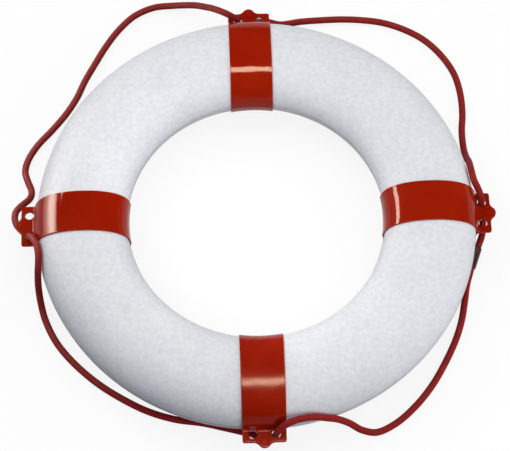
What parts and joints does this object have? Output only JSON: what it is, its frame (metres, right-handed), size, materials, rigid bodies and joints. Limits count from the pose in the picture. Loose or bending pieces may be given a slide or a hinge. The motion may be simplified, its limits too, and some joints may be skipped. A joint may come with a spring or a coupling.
{
  "type": "life ring",
  "caption": "Rigid white life ring: a hollow ring moulded round a foam core, with red strap clips round it and a red grab line looped from eye to eye",
  "frame": {"origin": "on the floor under the ring's centre, with the ring lying flat on the undersides of its straps", "axes": "+Z is the ring's axis and points out of its front, the side pictured; +X runs to the right strap and +Y to the far strap of the picture"},
  "size_m": [0.8307, 0.8703, 0.1236],
  "materials": {
    "shell": "white polyethylene, fine leathery moulding grain",
    "foam": "rigid closed-cell foam, cream",
    "strap": "glossy orange-red moulding",
    "line": "crimson polypropylene rope",
    "sleeve": "dark red shrunk sleeve"
  },
  "bodies": {
    "root": {"front_shell": "shell", "rear_shell": "shell", "fill_plug": "shell", "vent_plug": "shell", "foam_core": "foam", "strap_far": "strap", "strap_right": "strap", "strap_near": "strap", "strap_left": "strap", "rivet_far": "strap", "rivet_right": "strap", "rivet_near": "strap", "rivet_left": "strap", "line_far_to_right": "line", "line_right_to_sleeve": "line", "line_sleeve_to_near": "line", "line_near_to_left": "line", "line_left_to_far": "line", "line_sleeve": "sleeve"}
  },
  "joints": []
}
